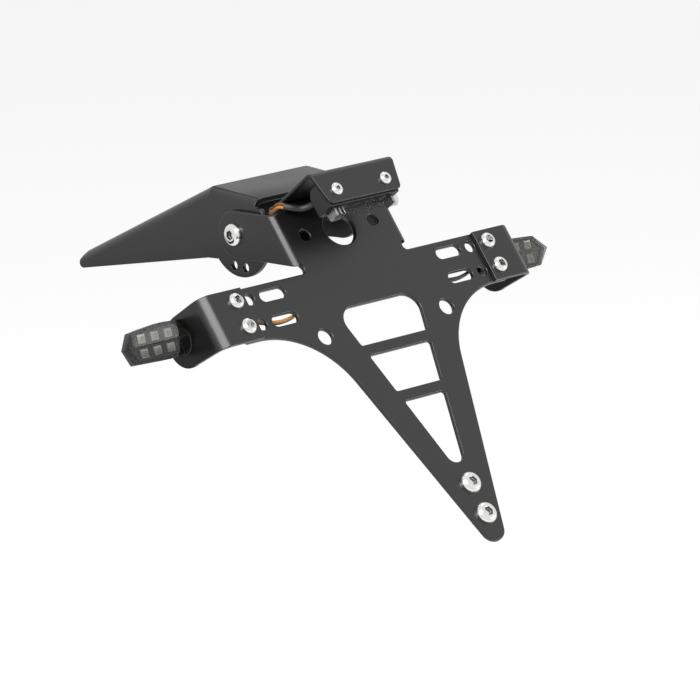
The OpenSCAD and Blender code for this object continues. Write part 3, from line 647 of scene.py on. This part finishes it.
# %% One lead
def lead(name, node, route, place, shift, material):
    """A round tube beside the route, at the shift given."""
    path = smooth(route)
    offsets = side_directions(path)
    curve = bpy.data.curves.new(name, "CURVE")
    curve.dimensions = "3D"
    curve.bevel_depth = LEAD / 2
    curve.bevel_resolution = 3
    curve.use_fill_caps = True
    spline = curve.splines.new("POLY")
    spline.points.add(len(path) - 1)
    for point, at, offset in zip(spline.points, path, offsets):
        point.co = (*(at + shift * offset), 1)
    rod = bpy.data.objects.new(name, curve)
    shape = bmesh.new()
    shape.from_mesh(rod.to_mesh())
    rod.to_mesh_clear()
    bpy.data.objects.remove(rod)
    bmesh.ops.transform(shape, matrix=place, verts=shape.verts)
    bmesh.ops.remove_doubles(shape, verts=shape.verts, dist=MERGE)
    bmesh.ops.recalc_face_normals(shape, faces=shape.faces)
    return new_piece(name, shape, node, material)


# %% A sleeve
SLEEVE_START, SLEEVE_END = 2, 5 * STEPS - 2
SLEEVE_HALF_WIDTH, SLEEVE_HALF_DEPTH, SLEEVE_SIDES = 2.05, 1.15, 20


def sleeve(name, node, route, place):
    """A black sleeve that keeps two leads together from the lamp to the edge of the neck."""
    path = smooth(route)[SLEEVE_START:SLEEVE_END]
    offsets = side_directions(smooth(route))[SLEEVE_START:SLEEVE_END]
    shape = bmesh.new()
    rings = []
    for number, (at, offset) in enumerate(zip(path, offsets)):
        along = (path[min(number + 1, len(path) - 1)] - path[max(number - 1, 0)]).normalized()
        across = along.cross(offset)
        ring = bmesh.ops.create_circle(shape, cap_ends=False, segments=SLEEVE_SIDES,
                                       radius=1.0)["verts"]
        axes = Matrix((SLEEVE_HALF_WIDTH * offset, SLEEVE_HALF_DEPTH * across, along))
        ring_place = Matrix.Translation(at) @ axes.transposed().to_4x4()
        bmesh.ops.transform(shape, matrix=ring_place, verts=ring)
        rings.append([e for e in shape.edges if e.verts[0] in ring and e.verts[1] in ring])
    for first, second in zip(rings, rings[1:]):
        bmesh.ops.bridge_loops(shape, edges=first + second)
    bmesh.ops.holes_fill(shape, edges=rings[0] + rings[-1])
    bmesh.ops.transform(shape, matrix=place, verts=shape.verts)
    bmesh.ops.recalc_face_normals(shape, faces=shape.faces)
    return new_piece(name, shape, node, black_cover)


# %% The leads and the sleeve
pairs = [("lamp_leads_left", side_route, to_left @ on_carrier, brown_cover, orange_cover),
         ("lamp_leads_right", side_route, on_carrier, black_cover, black_cover),
         ("plate_lamp_leads", lamp_route, on_carrier, orange_cover, brown_cover)]
for node, route, place, first, second in pairs:
    one = lead(node + "_first", node, route, place, -SPREAD, first)
    two = lead(node + "_second", node, route, place, SPREAD, second)
    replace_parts(one, node)
    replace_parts(two, node)
    print(node, "done")
sleeve("plate_lamp_sleeve", "plate_lamp_leads", lamp_route, on_carrier)

# %% [markdown]
# ## Floor and room
#
# The part hangs over a plain white floor, as in a catalogue. The world and the floor are white
# to the camera and in reflections, and lower for the light that they give, so the black sheet
# keeps its shades.


# %% White surroundings
def white_to_the_camera(tree, plain, target, full=1.0):
    """A strength that is full for camera, glossy and transmission rays, and plain otherwise."""
    path = new_node(tree, "ShaderNodeLightPath")
    seen = path.outputs["Is Camera Ray"]
    for label in ("Is Glossy Ray", "Is Transmission Ray"):
        both = new_node(tree, "ShaderNodeMath", operation="MAXIMUM")
        tree.links.new(seen, both.inputs[0])
        tree.links.new(path.outputs[label], both.inputs[1])
        seen = both.outputs["Value"]
    level = new_node(tree, "ShaderNodeMapRange")
    level.inputs["To Min"].default_value = plain
    level.inputs["To Max"].default_value = full
    tree.links.new(seen, level.inputs["Value"])
    tree.links.new(level.outputs["Result"], target)


world = bpy.data.worlds.new("White room")
world.use_nodes = True
bpy.context.scene.world = world
background = world.node_tree.nodes["Background"]
background.inputs["Color"].default_value = (1, 1, 1, 1)
ROOM_LIGHT = 0.2
white_to_the_camera(world.node_tree, ROOM_LIGHT, background.inputs["Strength"])
print("the room lights the part at", ROOM_LIGHT)

# %% The floor
FLOOR_DROP, FLOOR_SIZE, FLOOR_LIGHT = 0.22, 6.0, 0.8
floor_height = cad_box[0][2] - FLOOR_DROP
floor_shape = bmesh.new()
bmesh.ops.create_grid(floor_shape, x_segments=1, y_segments=1, size=FLOOR_SIZE)
bmesh.ops.translate(floor_shape, vec=(0, 0, floor_height), verts=floor_shape.verts)
floor_mesh = bpy.data.meshes.new("floor")
floor_shape.to_mesh(floor_mesh)
floor_shape.free()
floor = bpy.data.objects.new("floor", floor_mesh)
bpy.context.scene.collection.objects.link(floor)
pale_floor = finish("Pale floor", (0.42, 0.42, 0.42), 0.9, specular_ior_level=0.0)
floor_glow = pale_floor.node_tree.nodes["Principled BSDF"]
floor_glow.inputs["Emission Color"].default_value = (1, 1, 1, 1)
white_to_the_camera(pale_floor.node_tree, 0.0, floor_glow.inputs["Emission Strength"], FLOOR_LIGHT)
floor_mesh.materials.append(pale_floor)
print("floor at", round(floor_height, 3))

# %% [markdown]
# ## Black cards
#
# Black paint is seen by what it mirrors. Two black cards, which only reflections show, stand where
# the left-facing walls and the bracket's roof would mirror the white room. They draw the dark line
# inside each window and the shade on the roof.


# %% Two cards
def black_card(name, start, away, side, across, height, distance):
    """A card square to a mirrored ray, which starts at a point and goes away in a direction."""
    away = Vector(away).normalized()
    side = Vector(side).normalized()
    card_up = side.cross(away).normalized()
    if card_up.z < 0:
        card_up = -card_up
    middle = Vector(start) + distance * away
    shape = bmesh.new()
    shape.faces.new([shape.verts.new(middle + x * side + y * card_up)
                     for x, y in ((across[0], height[0]), (across[1], height[0]),
                                  (across[1], height[1]), (across[0], height[1]))])
    mesh = bpy.data.meshes.new(name)
    shape.to_mesh(mesh)
    shape.free()
    card = bpy.data.objects.new(name, mesh)
    bpy.context.scene.collection.objects.link(card)
    mesh.materials.append(card_black)
    card.visible_camera = False
    card.visible_shadow = False
    card.visible_diffuse = False
    print(name, [[round(v, 2) for v in c.co] for c in mesh.vertices])


card_black = finish("Black card", (0.004, 0.004, 0.004), 0.95, specular_ior_level=0.0)
black_card("card_left_ahead", start=(-0.117, -0.125, -0.03), away=(-0.65, 0.71, -0.28),
           side=(0.738, 0.675, 0), across=(-0.1, 0.3), height=(-0.24, 0.0), distance=0.42)
black_card("card_ahead", start=(0, 0, 0.028), away=(0.65, 0.71, 0.28),
           side=(0.737, -0.676, 0), across=(-0.3, 0.056), height=(-0.05, 0.25), distance=0.7)

# %% [markdown]
# ## Lamps
#
# The bends show because each mirrors a lamp as a band of light. The key lamp is a long panel high
# up at the left rear, rolled until its image lies along the bends. A small lamp at the right
# rear lights the walls that face it, and a faint one on top lifts the upper faces.

# %% Soft lamps
LAMP_TARGET = Vector((0, -0.12, -0.03))


def soft_lamp(name, position, size, power, height=None, roll=0.0):
    light = bpy.data.lights.new(name, "AREA")
    light.shape = "DISK" if height is None else "RECTANGLE"
    light.size = size
    light.size_y = height or size
    light.energy = power
    lamp = bpy.data.objects.new(name, light)
    lamp.location = position
    aim = LAMP_TARGET - Vector(position)
    facing = aim.to_track_quat("-Z", "Y").to_matrix().to_4x4()
    lamp.rotation_euler = (facing @ Matrix.Rotation(roll, 4, "Z")).to_euler()
    bpy.context.scene.collection.objects.link(lamp)
    print(name, "lamp,", power, "W,", round(aim.length, 2), "m away")
    return lamp


soft_lamp("key", (-0.86, -0.83, 1.11), size=1.9, power=27, height=0.45, roll=math.radians(31))
soft_lamp("right_side", (1.24, -1.3, 0.2), size=0.5, power=7)
soft_lamp("top", (0.7, 0.0, 1.34), size=0.5, power=1.3)

# %% [markdown]
# ## Camera
#
# The camera stands to the left of the part and behind it, a little above, and far away with a
# long lens, so that the sheet is hardly foreshortened and parallel edges stay nearly parallel.

# %% The camera
AZIMUTH, ELEVATION = math.radians(42.549), math.radians(16.169)
CAMERA_PLACE, FOCAL_LENGTH, SENSOR_WIDTH = (-1.7092, -1.99073, 0.67446), 241.58, 36.0
FARTHEST = 50.0
right = Vector((math.cos(AZIMUTH), -math.sin(AZIMUTH), 0))
up = Vector((math.sin(AZIMUTH) * math.sin(ELEVATION), math.cos(AZIMUTH) * math.sin(ELEVATION),
             math.cos(ELEVATION)))
away = right.cross(up)
camera_data = bpy.data.cameras.new("camera")
camera_data.lens = FOCAL_LENGTH
camera_data.sensor_width = SENSOR_WIDTH
camera_data.clip_end = FARTHEST
camera = bpy.data.objects.new("camera", camera_data)
turn = Matrix((right, up, away)).transposed().to_4x4()
camera.matrix_world = Matrix.Translation(CAMERA_PLACE) @ turn
bpy.context.scene.collection.objects.link(camera)
bpy.context.scene.camera = camera
bpy.context.scene.view_settings.view_transform = "Standard"
print("the camera is", round((Vector(CAMERA_PLACE) - pivot).length, 2), "m from the pivot")
